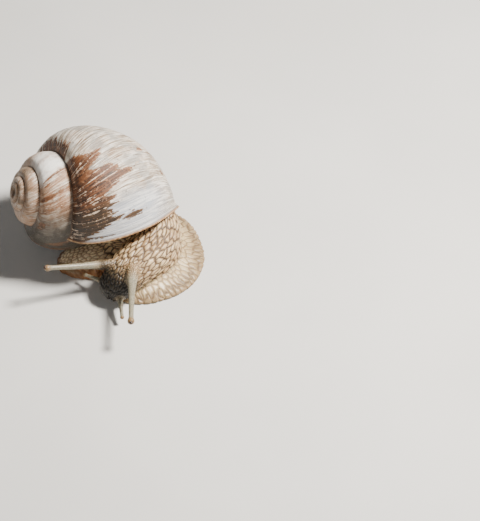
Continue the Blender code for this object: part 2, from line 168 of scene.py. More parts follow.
def spline(rows, count):
    """Points evenly spaced in parameter on a smooth curve through every row."""
    rows = np.asarray(rows, float)
    ends = np.vstack([2 * rows[0] - rows[1], rows, 2 * rows[-1] - rows[-2]])
    place = np.linspace(0.0, len(rows) - 1.0, count)
    start = np.minimum(place.astype(int), len(rows) - 2)
    t = (place - start)[:, None]
    a, b, c, d = (ends[start + i] for i in range(4))
    return 0.5 * (2 * b + (c - a) * t + (2 * a - 5 * b + 4 * c - d) * t**2
                  + (3 * b - a - 3 * c + d) * t**3)


def shear(angle):
    """How far round the axis a growth line runs ahead at an angle of the section."""
    return SHEAR[0] * np.sin(angle) + SHEAR[1] * np.cos(angle) + SHEAR[2] * np.sin(2 * angle)


def section_frame(age):
    """Radius and depth of the section's centre, and its size, at an age of zero at the lip."""
    age = np.minimum(age, 0.0)
    early = 0.5 - 0.5 * np.tanh((age + EARLY_TURN) / EARLY_BLEND)
    growth = np.exp(math.log(WHORL_RATIO) / TAU * age - EARLY_SHRINK * early)
    last = np.clip((age + LAST_STRETCH) / LAST_STRETCH, 0.0, None) ** 2
    radius = CENTRE_RADIUS * growth + LAST_INWARD * last
    depth = -CENTRE_DEPTH * growth**DEPTH_POWER - LAST_DROP * last
    return radius, depth, growth * (1.0 + LIP_FLARE * np.exp(age / LIP_FLARE_TURN))


def section_point(age, angle, offset=0.0):
    """Distance from the axis and height of a point of the whorl's surface, moved outward."""
    radius, depth, size = section_frame(age)
    size = size + offset / MEAN_HALF_SECTION
    cos, sin = np.cos(angle), np.sin(angle)
    x = SECTION_WIDTH * np.sign(cos) * np.abs(cos) ** (2.0 / SECTION_POWER)
    y = SECTION_HEIGHT * np.sign(sin) * np.abs(sin) ** (2.0 / SECTION_POWER)
    return radius + size * (x * TILT_COS - y * TILT_SIN), depth + size * (x * TILT_SIN + y * TILT_COS)


def in_section(r, z, turn, offset):
    """Below zero inside the whorl at this turn about the axis; also the angle there."""
    angle = np.full_like(r, -0.7)
    for _ in range(SECTION_ROUNDS):
        radius, depth, size = section_frame(turn - shear(angle))
        size = size + offset / MEAN_HALF_SECTION
        across, up = (r - radius) / size, (z - depth) / size
        x = (across * TILT_COS + up * TILT_SIN) / SECTION_WIDTH
        y = (up * TILT_COS - across * TILT_SIN) / SECTION_HEIGHT
        half = SECTION_POWER / 2.0
        angle = np.arctan2(np.sign(y) * np.abs(y) ** half, np.sign(x) * np.abs(x) ** half)
    return np.abs(x) ** SECTION_POWER + np.abs(y) ** SECTION_POWER - 1.0, angle


def first_crossing(measure, start, end, count):
    """The first angle from start to end at which each ring's measure turns negative."""
    grid = np.linspace(start, end, CROSSING_STEPS)
    values = np.stack([measure(np.full(count, a)) for a in grid])
    hit = np.argmax(values < 0, axis=0)
    low, high = grid[np.maximum(hit - 1, 0)], grid[hit]
    for _ in range(CROSSING_ROUNDS):
        middle = 0.5 * (low + high)
        inside = measure(middle) < 0
        high = np.where(inside, middle, high)
        low = np.where(inside, low, middle)
    return 0.5 * (low + high)


def seam_angle(turn, lean, grow):
    """The angle at which whorls at these turns meet the whorl before, on its outer side."""
    def measure(angle):
        at = turn + lean * shear(angle)
        r, z = section_point(at - shear(angle), angle, grow)
        return in_section(r, z, at - TAU, grow)[0]
    return first_crossing(measure, 0.1, math.pi - 0.15, len(turn))


def radius_angle(turn, radius, start, grow):
    """The angle at which whorls at these turns come in to a distance from the axis."""
    def measure(angle):
        return section_point(turn - shear(angle), angle, grow)[0] - radius
    return first_crossing(measure, start, math.copysign(math.pi, start), len(turn))


def on_shell(r, z, turn):
    """A point at a turn about the shell's axis, in the shell's own frame."""
    return np.stack([r * np.cos(turn), -r * np.sin(turn), z], -1)


def place_shell(points):
    """Points of the shell's own frame, turned, lifted and set about the model's centre."""
    turn = np.array(SHELL_TURN.to_matrix())
    return np.asarray(points) @ turn.T + APEX


def whorl_surface(grow, detail):
    """Points and faces of the closed shell, its mouth still filled."""
    per_turn, upper, lower = detail["rings"], detail["upper"], detail["lower"]
    count = int(round(WHORLS * per_turn))
    last = count - per_turn
    turn = grow / 15.0 - TAU / per_turn * np.arange(count, -1, -1.0)
    lean = smooth((turn + LAST_STRETCH) / LAST_STRETCH)
    top = np.zeros(count + 1)
    top[:per_turn] = radius_angle(turn[:per_turn], APEX_RADIUS, 0.1, grow)
    top[per_turn:] = seam_angle(turn[per_turn:], lean[per_turn:], grow)
    seam_turn = turn + lean * shear(top)
    r, z = section_point(seam_turn - shear(top), top, grow)
    below = in_section(r, z, seam_turn - TAU, grow)[1]
    reach = PILLAR_RADIUS + (NAVEL_RADIUS - PILLAR_RADIUS) * lean
    base = radius_angle(turn, reach, -0.1 * math.pi, grow)
    share = np.linspace(0.0, 1.0, upper + 1)
    low_share = np.linspace(0.0, 1.0, lower + 1)[1:]
    shoulder = below[count]
    points, faces, index = [], [], []
    for k in range(count + 1):
        if k < last:
            angle = top[k] + (below[k + per_turn] - top[k]) * share
            at = turn[k] + (seam_turn[k + per_turn] - turn[k + per_turn]) * share**2
        else:
            lead = seam_turn[count] - turn[count]
            lead *= 1.0 - smooth((turn[k] - turn[last]) / LEAD_STRETCH)
            angle = np.concatenate([top[k] + (shoulder - top[k]) * share,
                                    shoulder + (base[k] - shoulder) * low_share])
            at = turn[k] + lean[k] * shear(angle)
            at += lead * np.concatenate([share**2, (1.0 - low_share) ** 2])
        r, z = section_point(at - shear(angle), angle, grow)
        shared = [index[k - per_turn][upper]] if k >= per_turn else []
        fresh = on_shell(r, z, at)[len(shared):]
        index.append(shared + list(range(len(points), len(points) + len(fresh))))
        points.extend(fresh)
    for k in range(count):
        here, there = index[k], index[k + 1]
        for j in range(min(len(here), len(there)) - 1):
            faces.append((here[j], here[j + 1], there[j + 1], there[j]))

    def add(point):
        points.append(point)
        return len(points) - 1

    rim = [row[0] for row in index[:per_turn + 1]] + index[0][::-1][1:]
    apex = add(np.mean([points[i] for i in rim], axis=0) + (0.0, 0.0, APEX_RISE))
    faces += [(a, b, apex) for a, b in zip(rim, rim[1:])]
    foot = [row[-1] for row in index[last:]]
    navel = add(np.array([0.0, 0.0, NAVEL_DEPTH - grow]))
    faces += [(a, b, navel) for a, b in zip(foot, foot[1:] + foot[:1])]
    mouth = index[count] + index[last][upper + 1:][::-1]
    centre = add(np.mean([points[i] for i in index[count - 1][1:-2]], axis=0))
    faces += [(a, b, centre) for a, b in zip(mouth, mouth[1:] + mouth[:1])]
    return points, faces


def whorl_tube(start, end, offset, detail, core=0.0, name="whorls"):
    """A closed tube along the spiral, between two ages in radians before the lip."""
    count = max(2, int(round((end - start) / TAU * detail["rings"])))
    angle = np.linspace(0.0, TAU, detail["points"], endpoint=False)
    rings = []
    for age in np.linspace(start, end, count + 1):
        r, z = section_point(age, angle, offset)
        rings.append(place_shell(on_shell(np.maximum(r, core), z, age + shear(angle))))
    return skin_over(rings, name)


def make_pillar(grow):
    """The pillar about the shell's axis, widening at its foot into the floor of the navel."""
    turns = np.linspace(0.0, TAU, PILLAR_SIDES, endpoint=False)
    rings = [on_shell(r + grow, np.full(PILLAR_SIDES, z), turns) for r, z in PILLAR_PROFILE]
    return skin_over([place_shell(ring) for ring in rings], "pillar")


def sideways(forward):
    """The level direction across a line, and the one that stands up from both."""
    side = forward.cross(Vector((0.0, 0.0, 1.0))).normalized()
    return side, side.cross(forward)


def ellipse(centre, scale, across, up, count):
    turns = [TAU * i / count for i in range(count)]
    return np.array([centre + scale * (across * math.cos(t) + up * math.sin(t)) for t in turns])


def ball(name, centre, forward, radii):
    """An ellipsoid: its half-widths are given forward, sideways and up."""
    forward = Vector(forward).normalized()
    side, up = sideways(forward)
    rows = []
    for step in range(1, BALL_RINGS + 1):
        polar = math.pi * step / (BALL_RINGS + 1)
        middle = Vector(centre) - forward * radii[0] * math.cos(polar)
        rows.append(ellipse(middle, math.sin(polar), side * radii[1], up * radii[2], BALL_SIDES))
    return skin_over(rows, name)


def make_shell(name, grow, detail):
    """The shell as one closed solid, with the hollow of its mouth cut in behind the lip."""
    points, faces = whorl_surface(grow, detail)
    shell = solid(name, place_shell(points), faces)
    mouth = whorl_tube(-MOUTH_DEPTH + grow / 10.0, 0.15, -LIP_WALL - grow, detail, 0.0, "mouth")
    inner = grow + CALLUS
    for start, end in ((-2.4, 0.4), (0.2, 2.2)):
        whorl = whorl_tube(-TAU + start, -TAU + end, inner, detail, 0.3)
        boolean(mouth, whorl, "DIFFERENCE")
    boolean(mouth, make_pillar(inner), "DIFFERENCE")
    boolean(shell, mouth, "DIFFERENCE")
    radii = [radius + grow for radius in PLUG_RADII]
    return boolean(shell, ball("plug", PLUG, PLUG_WAY, radii), "UNION")


def value_noise(u, v, seed):
    """Smooth random values from 0 to 1 over a plane, with one cell to a unit."""
    table = np.random.default_rng(seed).random((NOISE_CELLS, NOISE_CELLS))
    iu, iv = np.floor(u).astype(int), np.floor(v).astype(int)
    fu, fv = smooth(u - iu), smooth(v - iv)
    steps = ((0, 0), (1, 0), (0, 1), (1, 1))
    a, b, c, d = (table[(iu + i) % NOISE_CELLS, (iv + j) % NOISE_CELLS] for i, j in steps)
    return (a * (1 - fu) + b * fu) * (1 - fv) + (c * (1 - fu) + d * fu) * fv


def read_vertices(obj):
    """Each vertex's place in millimetres about the model's centre, and its normal."""
    found = []
    for kind in ("co", "normal"):
        values = np.empty(len(obj.data.vertices) * 3, np.float32)
        obj.data.vertices.foreach_get(kind, values)
        found.append(values.reshape(-1, 3).astype(float))
    return found[0] / MM, found[1]


def write_points(obj, points):
    obj.data.vertices.foreach_set("co", (points * MM).astype(np.float32).ravel())
    obj.data.update()


def write_attribute(obj, name, values, domain="POINT"):
    """Keeps one number for each vertex or face corner, for the materials to read."""
    layer = obj.data.attributes.new(name, "FLOAT", domain)
    layer.data.foreach_set("value", np.asarray(values, np.float32))


def shell_local(points):
    """Distance from the shell's axis, height along it and turn about it."""
    local = (points - APEX) @ np.array(SHELL_TURN.to_matrix())
    r = np.hypot(local[:, 0], local[:, 1])
    return r, local[:, 2], np.arctan2(-local[:, 1], local[:, 0])


def find_turns(points):
    """The turn about the axis, counted from the lip, of the whorl that each point is on."""
    r, z, around = shell_local(points)
    least = np.full(len(r), np.inf)
    turns = np.zeros(len(r))
    for whorl in range(1, -6, -1):
        turn = around + TAU * whorl
        measure, at = in_section(r, z, turn, 0.0)
        age = turn - shear(at)
        score = np.abs(measure) + 10.0 * (age > 0.04) + 10.0 * (age < -WHORLS * TAU - 0.5)
        turns = np.where(score < least, turn, turns)
        least = np.minimum(score, least)
    return turns


def on_whorl(points, turns):
    """Distance from the axis, height, and turn on the whorl nearest to the given turns."""
    r, z, around = shell_local(points)
    return r, z, around + TAU * np.round((turns - around) / TAU)


def shell_coordinates(points, turns):
    """Age, section angle and depth below the surface, on the whorl nearest to each turn."""
    r, z, turn = on_whorl(points, turns)
    depth, angle = in_section(r, z, turn, 0.0)
    return turn - shear(angle), angle, depth


def seam_distance(points, turns):
    """About how far points of the shell lie from the seam with the next or last whorl."""
    r, z, turn = on_whorl(points, turns)
    nearest_seam = np.full(len(r), np.inf)
    for step in (-TAU, TAU):
        measure, angle = in_section(r, z, turn + step, 0.0)
        age = turn + step - shear(angle)
        size = section_frame(age)[2] * MEAN_HALF_SECTION / SECTION_POWER
        distance = np.where(age < 0.05, np.abs(measure) * size, np.inf)
        nearest_seam = np.minimum(nearest_seam, distance)
    return nearest_seam


# The brown outer layer that is left on the last whorl lies along the suture. It reaches down
# to these section angles, by age.
BROWN_REACH = (
    (-3.3, 2.0), (-2.95, 1.72), (-2.6, 1.60), (-2.3, 1.66), (-2.10, 1.56), (-1.97, 1.44),
    (-1.89, 1.90), (-1.80, 1.95), (-1.72, 1.66), (-1.58, 1.36), (-1.46, 1.04), (-1.36, 1.06),
    (-1.27, 1.26), (-1.20, 0.96), (-1.08, 0.66), (-0.99, 0.48), (-0.91, 0.54), (-0.86, 0.80),
    (-0.78, 0.92), (-0.68, 0.82), (-0.50, 0.80), (-0.39, 0.78), (-0.31, 0.86), (-0.20, 0.98),
    (-0.10, 1.12), (0.0, 1.22),
)
# Other stains: age and section angle of the middle, half-widths along both, and strength.
STAINS = (
    (-0.35, 0.45, 0.055, 0.22, 0.9),
    (-0.12, 1.25, 0.03, 0.50, 0.8),
    (-1.25, 0.13, 0.04, 0.08, 0.8),
    (-0.82, -0.37, 0.05, 0.10, 0.8),
    (-7.55, 1.15, 0.035, 0.50, 1.0),
    (-7.42, 1.30, 0.03, 0.30, 0.8),
    (-7.10, 1.30, 0.05, 0.60, 1.1),
    (-6.95, 1.10, 0.03, 0.40, 0.9),
    (-6.80, 1.25, 0.06, 0.40, 0.8),
    (-6.37, 1.50, 0.14, 0.30, 0.9),
    (-4.40, 0.20, 0.12, 0.80, 0.9),
    (-3.55, 1.20, 0.15, 0.50, 0.9),
    (-5.30, 0.90, 0.20, 0.60, 0.9),
)
RIDGES = ((28.0, 0.055), (13.0, 0.10), (6.0, 0.14), (2.0, 0.20))


def stains(age, angle):
    """How brown the shell is: along the suture, in named places, and faintly elsewhere."""
    def ragged(fast, slow, seed):
        return value_noise(age * fast + 500.0, angle * slow + 9.0, seed) - 0.5

    beyond = angle - np.interp(age, *np.transpose(BROWN_REACH)) + 0.26 * ragged(22.0, 0.6, 21)
    beyond = beyond + 0.20 * ragged(55.0, 0.6, 23) + 0.20 * ragged(9.0, 1.8, 22)
    total = 1.05 * smooth(beyond / 0.30 + 0.5) * (age > BROWN_REACH[0][0])
    for at, across, width, length, strength in STAINS:
        close = ((age - at) / width) ** 2 + ((angle - across) / length) ** 2
        total = np.maximum(total, strength * np.exp(-close * 0.7))
    scatter = value_noise(age * 5.0 + 40.0, angle * 1.2 + 9.0, 11)
    early = smooth((-5.7 - age) / 0.4)
    hidden = np.maximum(smooth((-3.1 - age) / 0.5) * (1.0 - early), smooth((-0.5 - angle) / 0.5))
    hidden *= smooth((age + 7.0) / 0.5)
    return np.maximum(total, 0.75 * hidden * smooth((scatter - 0.60) / 0.3))


def growth_ridges(age, angle):
    """Height of the growth lines' relief, in millimetres on the last whorl."""
    total = np.zeros(len(age))
    for number, (pitch, height) in enumerate(RIDGES):
        waves = value_noise(age * pitch + 300.0, angle * 0.8 + 7.0, number + 1)
        total += height * (waves - 0.5)
    return total


def near_plug(points):
    """One on the callus that closes the navel, fading just beyond it."""
    gap = np.linalg.norm(points - np.array(PLUG), axis=1)
    return smooth((PLUG_SPREAD + PLUG_BLEND - gap) / PLUG_BLEND)


def relax_plug(shell):
    """Blends the callus into the shell about it."""
    shape = bmesh.new()
    shape.from_mesh(shell.data)
    reach = (PLUG_RADII[1] + 0.3) * MM
    soft = [v for v in shape.verts if (v.co - Vector(PLUG) * MM).length < reach]
    every_way = dict.fromkeys(("use_axis_x", "use_axis_y", "use_axis_z"), True)
    for _ in range(PLUG_ROUNDS):
        bmesh.ops.smooth_vert(shape, verts=soft, factor=0.5, **every_way)
    shape.to_mesh(shell.data)
    shape.free()


def dress_shell():
    """The shell with growth ridges, and the numbers its material reads."""
    shell = make_shell("shell_skin", 0.0, FINE)
    relax_plug(shell)
    points, normals = read_vertices(shell)
    mesh = shell.data
    corner_vertex = np.empty(len(mesh.loops), np.int32)
    mesh.loops.foreach_get("vertex_index", corner_vertex)
    sizes = np.empty(len(mesh.polygons), np.int32)
    mesh.polygons.foreach_get("loop_total", sizes)
    corner_face = np.repeat(np.arange(len(sizes)), sizes)
    middles = np.zeros((len(sizes), 3))
    np.add.at(middles, corner_face, points[corner_vertex])
    middles /= sizes[:, None]
    corner_turns = find_turns(middles)[corner_face]
    age, angle, depth = shell_coordinates(points[corner_vertex], corner_turns)
    seam = seam_distance(points[corner_vertex], corner_turns)
    seam /= 0.05 + 0.10 * section_frame(age)[2]
    in_mouth = smooth((-0.06 - depth) / 0.05) * (age > -0.8)
    numbers = {
        "age": age,
        "angle": angle,
        "seam": np.exp(-(seam**2)) * (age <= -0.05),
        "inside": np.maximum(in_mouth, near_plug(points)[corner_vertex]),
        "stain": stains(age, angle),
    }
    for name, values in numbers.items():
        write_attribute(shell, name, values, "CORNER")

    age, angle, depth = shell_coordinates(points, find_turns(points))
    outside = 1.0 - smooth((-0.03 - depth) / 0.05) * (age > -0.8)
    outside *= 1.0 - near_plug(points)
    seam = smooth((1.9 - angle) / 0.25)
    fade = outside * section_frame(age)[2] * smooth((-age - 0.01) / 0.08) * (0.3 + 0.7 * seam)
    points += normals * (growth_ridges(age, angle) * fade)[:, None]
    write_points(shell, points)
    return shell


# ---- Flesh: the same lofts as the solids', joined and wrinkled

# The foot from tail to head: x, y, reach to the outer and the inner side, height of the back,
# and the skirt's share of the reach.
FOOT = (
    (10.0, -5.3, 0.9, 0.9, 1.6, 0.42),
    (11.9, -4.4, 3.7, 3.6, 3.3, 0.42),
    (16.0, -2.7, 6.0, 6.2, 4.9, 0.42),
    (21.0, -0.8, 8.6, 7.2, 5.6, 0.42),
    (26.5, 1.4, 11.0, 6.4, 6.0, 0.44),
    (31.6, 1.4, 12.4, 4.6, 6.0, 0.44),
    (34.9, -1.8, 8.7, 4.4, 6.0, 0.64),
    (34.3, -6.4, 7.2, 4.6, 5.8, 0.76),
    (31.0, -9.9, 5.8, 4.8, 5.2, 0.74),
    (27.0, -12.0, 4.4, 4.2, 4.3, 0.68),
    (23.7, -13.1, 2.3, 2.4, 3.0, 0.60),
)
FOOT_RINGS = 140
MARGIN_HEIGHT = 1.0
GROOVE_HEIGHT = 3.0
SKIRT = 6.0
EDGE_SPARE = 0.25
BACK_STEPS = 12

# Neck and head: x, y and z of the middle, half-width, and height above and below it.
NECK = (
    (27.5, 5.5, 11.5, 5.6, 5.0, 5.0),
    (30.7, 2.4, 9.8, 5.8, 4.6, 5.6),
    (32.2, -1.8, 8.4, 5.6, 4.4, 5.2),
    (30.9, -5.8, 7.6, 5.6, 4.3, 4.6),
    (28.3, -8.8, 6.9, 5.5, 4.2, 4.2),
    (25.9, -11.4, 6.2, 4.9, 3.9, 3.9),
    (24.0, -13.4, 5.2, 4.4, 3.6, 3.8),
    (22.8, -14.8, 3.9, 4.0, 2.9, 3.0),
    (22.1, -15.9, 2.8, 2.7, 2.0, 2.0),
    (21.8, -16.4, 2.3, 1.2, 0.9, 0.9),
)
NECK_RINGS = 110
NECK_SIDES = 60
FOOT_LINE = 300
NECK_LINE = 200
BATCH = 20000
TRUNK_FOOT = (27.0, 3.2, 1.5)
TRUNK_TOP = (25.0, 2.0, 13.0)
TRUNK_RADII = (9.0, 6.5)
TRUNK_SIDES = 64
TRUNK_RINGS = 12

# Each feeler's root and tip, its radii at the root, the shaft and the swollen tip, and the
# share of its length from which its skin is smooth.
FEELERS = {
    "feeler_upper_right": ((23.1, -11.0, 8.0), (6.9, -15.8, 11.6), (1.20, 0.66, 0.74), 0.20),
    "feeler_upper_left": ((26.7, -11.6, 8.6), (26.2, -30.0, 8.6), (1.65, 0.66, 0.80), 0.17),
    "feeler_lower_right": ((21.6, -13.4, 4.0), (15.7, -9.4, 3.0), (1.00, 0.45, 0.52), 0.30),
    "feeler_lower_left": ((23.6, -14.9, 3.9), (24.4, -22.6, 2.2), (1.25, 0.48, 0.54), 0.28),
}
MOUTH = (21.9, -16.1, 1.9)
MOUTH_WAY = (-0.35, -0.75, -0.35)
MOUTH_WIDTH = 0.55
MOUTH_LENGTH = 1.3
LIP_SWELL = 0.35
SLIT_DEPTH = 0.5
FEELER_RINGS = 60
FEELER_SIDES = 24
EYE_RADIUS = 0.42
EYE_DEPTH = 0.30
EYE_RISE = 0.20
FLESH_NUMBERS = ("edge", "tone", "skirt", "crease_shade", "margin", "rim", "tail", "face", "feeler",
                 "share", "sole")
BODY_GRID = 0.25
SKIN_GRID = 0.145
CELL_ROOM = 0.84
CELL_TRIES = 60000
CELLS_NEAR = 10
GROOVE_AT = 0.46
WOBBLE = 0.14
WOBBLE_PITCH = 1.3
WOBBLE_SEED = 5
FLESH_NODES = ("trunk", "tail", "foot_rear", "foot_front", "neck", "head", *FEELERS)


def about_centre(points):
    """Points given from the shell's apex, set about the model's centre."""
    return np.asarray(points, float) - np.array([*CENTRE, 0.0])


def foot_ring(row, heading):
    """The foot's cross-section: flat sole, thin margins, skirts, and the back between."""
    x, y, outer, inner, back, skirt_share = row
    across = np.array([-heading[1], heading[0]])
    groove = GROOVE_HEIGHT * min(1.0, back / 4.0)
    margin = MARGIN_HEIGHT * min(1.0, back / 3.0)
    half = []
    for reach in (outer + EDGE_SPARE, inner + EDGE_SPARE):
        skirt = min(SKIRT, skirt_share * reach)
        side = [(reach - 0.35, 0.0), (reach, 0.5 * margin), (reach - 0.2 * skirt, 1.25 * margin)]
        side += [(reach - 0.6 * skirt, 0.5 * (1.3 * margin + groove)), (reach - skirt, groove)]
        for step in range(1, BACK_STEPS):
            turn = 0.5 * math.pi * step / BACK_STEPS
            lift = groove + (back - groove) * math.sin(turn) ** 0.9
            side.append(((reach - skirt) * math.cos(turn), lift))
        half.append(side)
    profile = half[0] + [(0.0, back)] + [(-q, z) for q, z in half[1][::-1]] + [(0.0, 0.0)]
    return np.array([(x + q * across[0], y + q * across[1], z) for q, z in profile])


def foot_line(count):
    rows = spline(FOOT, count)
    headings = np.gradient(rows[:, :2], axis=0)
    headings /= np.linalg.norm(headings, axis=1)[:, None]
    return rows, headings


def make_foot():
    rows, headings = foot_line(FOOT_RINGS)
    rings = [about_centre(foot_ring(row, heading)) for row, heading in zip(rows, headings)]
    return skin_over(rings, "foot")


def make_neck():
    """Neck and head: one tube along a bent line, lower half deeper than the upper."""
    rows = spline(NECK, NECK_RINGS)
    headings = np.gradient(rows[:, :3], axis=0)
    rings = []
    for row, heading in zip(rows, headings):
        side, up = sideways(Vector(heading).normalized())
        ring = []
        for step in range(NECK_SIDES):
            turn = TAU * step / NECK_SIDES
            cos, sin = math.cos(turn), math.sin(turn)
            ring.append(Vector(row[:3]) + side * row[3] * cos
                        + up * (row[4] if sin > 0 else row[5]) * sin)
        rings.append(about_centre(ring))
    return skin_over(rings, "neck")


def make_trunk():
    low, high = np.array(TRUNK_FOOT), np.array(TRUNK_TOP)
    turns = np.linspace(0.0, TAU, TRUNK_SIDES, endpoint=False)
    rings = []
    for share in np.linspace(0.0, 1.0, TRUNK_RINGS):
        centre = low + (high - low) * share
        x = centre[0] + TRUNK_RADII[0] * np.cos(turns)
        y = centre[1] + TRUNK_RADII[1] * np.sin(turns)
        rings.append(about_centre(np.stack([x, y, np.full(TRUNK_SIDES, centre[2])], -1)))
    return skin_over(rings, "trunk")


def make_mantle():
    """The flesh that fills the shell's mouth."""
    mantle = whorl_tube(-MOUTH_DEPTH - 0.05, -MANTLE_DEPTH, -0.5 * LIP_WALL, PLAIN, 0.0, "mantle")
    return boolean(mantle, make_pillar(LIP_WALL), "DIFFERENCE")


def feeler_radius(share, radii):
    """Flared at the root, ever more slender along the shaft and swollen at the tip."""
    root, shaft, tip = radii
    flare = 1.0 / (1.0 + (share / 0.32) ** 4)
    taper = shaft * (1.15 - 0.35 * share) + (root - 1.15 * shaft) * flare
    return taper + (tip - 0.8 * shaft) * np.exp(-(((share - 0.955) / 0.04) ** 2))


def make_feeler(name, root, tip, radii):
    """A feeler from inside the head to its rounded tip."""
    root, tip = Vector(root), Vector(tip)
    side, up = sideways((tip - root).normalized())
    length = (tip - root).length
    rings = []
    for step in range(FEELER_RINGS + 1):
        share = math.sin(0.5 * math.pi * step / FEELER_RINGS)
        radius = float(feeler_radius(share, radii))
        left = (1.0 - share) * length / radii[2]
        radius *= math.sqrt(max(0.02, 1.0 - max(0.0, 1.0 - left) ** 2))
        rings.append(about_centre(ellipse(root.lerp(tip, share), radius, side, up, FEELER_SIDES)))
    return skin_over(rings, name)


def remesh(obj, size, rounds):
    """Joins an object's overlapping parts on a fine grid and relaxes the result."""
    step = obj.modifiers.new("grid", "REMESH")
    step.mode = "VOXEL"
    step.voxel_size = size * MM
    step.use_smooth_shade = True
    relax = obj.modifiers.new("relax", "SMOOTH")
    relax.factor = 0.5
    relax.iterations = rounds
    return apply_modifiers(obj)


def join(target, others):
    """Adds the meshes of other objects to the target's."""
    shape = bmesh.new()
    for obj in (target, *others):
        shape.from_mesh(obj.data)
    shape.to_mesh(target.data)
    shape.free()
    for obj in others:
        bpy.data.objects.remove(obj)
    return target


def make_flesh():
    """Foot, trunk, neck, head, mantle and feelers as one smooth closed surface."""
    flesh = make_foot()
    for piece in (make_trunk(), make_neck(), make_mantle()):
        boolean(flesh, piece, "UNION")
    boolean(flesh, make_shell("clearance", GAP, PLAIN), "DIFFERENCE")
    remesh(flesh, BODY_GRID, 12)
    join(flesh, [make_feeler(name, *shape[:3]) for name, shape in FEELERS.items()])
    remesh(flesh, SKIN_GRID, 6)
    flesh.name = "skin"
    return flesh


def nearest(points, line):
    """The nearest of the line's points to each point, and its distance."""
    index = np.empty(len(points), int)
    distance = np.empty(len(points))
    for start in range(0, len(points), BATCH):
        part = points[start:start + BATCH]
        gaps = np.linalg.norm(part[:, None, :] - line[None], axis=2)
        index[start:start + BATCH] = gaps.argmin(1)
        distance[start:start + BATCH] = gaps.min(1)
    return index, distance


def unit(vectors):
    return vectors / np.maximum(np.linalg.norm(vectors, axis=1), 1e-9)[:, None]


class Regions:
    """Where each point of the skin lies: on the foot, neck, face, feelers or mantle."""

    def __init__(self, points, normals):
        rows, headings = foot_line(FOOT_LINE)
        line = about_centre(np.column_stack([rows[:, :2], np.zeros(FOOT_LINE)]))[:, :2]
        foot, _ = nearest(points[:, :2], line)
        outward = points[:, :2] - line[foot]
        across = np.stack([-headings[foot, 1], headings[foot, 0]], 1)
        side = (outward * across).sum(1)
        reach = np.where(side > 0, rows[foot, 2], rows[foot, 3])
        back = rows[foot, 4]
        groove = GROOVE_HEIGHT * np.minimum(1.0, back / 4.0)
        width = np.minimum(SKIRT, rows[foot, 5] * reach)
        beyond = np.abs(side) - reach + width
        neck_line = about_centre(spline(NECK, NECK_LINE)[:, :3])
        place, _ = nearest(points, neck_line)
        self.along = place / (NECK_LINE - 1.0)
        snout = smooth((self.along - 0.78) / 0.08) * smooth((points[:, 2] - 1.15) / 0.35)
        low = smooth((groove + 0.5 - points[:, 2]) / 0.7) * (1.0 - snout)
        self.skirt = low * smooth((beyond + 0.8) / 0.9)
        # Painted shade along the groove where the neck meets the skirt.
        self.crease_shade = 4.0 * self.skirt * (1.0 - self.skirt)
        self.margin = smooth((beyond / width - 0.30) / 0.5) * self.skirt
        self.rim = smooth((beyond / width - 0.86) / 0.12) * self.skirt
        self.sole = smooth((-0.6 - normals[:, 2]) / 0.3) * smooth((0.8 - points[:, 2]) / 0.5)
        self.tail = smooth((-0.5 - line[foot, 0]) / 3.0) * smooth((9.0 - points[:, 2]) / 3.0)

        neck_way = unit(np.gradient(neck_line, axis=0))[place]
        tail_way = np.column_stack([headings[foot], np.zeros(len(foot))])
        radial = np.column_stack([across * np.sign(side)[:, None], np.full(len(foot), -0.3)])
        on_tail = (self.tail > 0.5)[:, None]
        way = np.where(on_tail, tail_way, neck_way)
        way = np.where((self.skirt > 0.5)[:, None], radial, way)
        way -= normals * (way * normals).sum(1)[:, None]
        self.way = unit(way)

        self.feeler = np.zeros(len(points))
        self.share = np.zeros(len(points))
        self.root = np.zeros(len(points))
        for root, tip, radii, bare in FEELERS.values():
            start, end = about_centre([root, tip])
            length = np.linalg.norm(end - start)
            axis = (end - start) / length
            share = ((points - start) @ axis) / length
            off = np.linalg.norm(points - start - axis * (share * length)[:, None], axis=1)
            wide = feeler_radius(np.clip(share, 0.0, 1.0), radii) + 0.5
            near = smooth((wide + 0.3 - off) / 0.5)
            on = near * smooth((share - bare) / 0.16)
            self.root = np.maximum(self.root, near * smooth((share - bare + 0.20) / 0.15))
            self.share = np.where(on > self.feeler, share, self.share)
            self.feeler = np.maximum(self.feeler, on)
        face = smooth((self.along - 0.47) / 0.25) * (1.0 - self.skirt) * (1.0 - self.tail)
        self.face = face * (1.0 - self.feeler)

        side = np.array(sideways(Vector(MOUTH_WAY).normalized())[0])
        gap = points - about_centre(MOUTH)
        aside = np.abs(gap @ side) / MOUTH_WIDTH
        beside = np.sqrt(np.maximum((gap * gap).sum(1) - (gap @ side) ** 2, 0.0))
        near = np.exp(-((beside / MOUTH_LENGTH) ** 2))
        self.slit = near * np.exp(-((aside / 0.4) ** 2))
        self.lips = near * np.exp(-(((aside - 1.2) / 0.7) ** 2))

    def spacing(self):
        """The tubercles' size across their length, in millimetres."""
        size = 0.84 - 0.26 * self.face - 0.20 * self.tail
        size = size + (0.40 - size) * self.root
        return size + (1.15 + 0.10 * self.margin - size) * self.skirt

    def stretch(self):
        """How many times longer than wide the tubercles are."""
        long = 3.0 - 0.5 * self.face - 1.1 * self.tail
        long = long + (1.3 - long) * self.root
        return long + (1.3 + 2.7 * self.margin - long) * self.skirt

    def height(self):
        """How far the tubercles stand above the grooves between them, in millimetres."""
        tall = 0.28 - 0.04 * self.face - 0.10 * self.tail - 0.12 * self.root
        tall = tall + (0.18 + 0.10 * self.margin - tall) * self.skirt
        return tall * (1.0 - self.sole) * (1.0 - self.feeler) * (1.0 - 0.8 * self.lips)


def scramble(points):
    """A number from 0 to 1 that looks random and follows from each point's place alone."""
    mixed = np.round(points * 50.0).astype(np.int64) @ np.array([73856093, 19349663, 83492791])
    mixed = ((mixed ^ (mixed >> 13)) & 0x7FFFFFFF) * 1274126177
    return ((mixed ^ (mixed >> 16)) & 0xFFFFFF) / float(0x1000000)


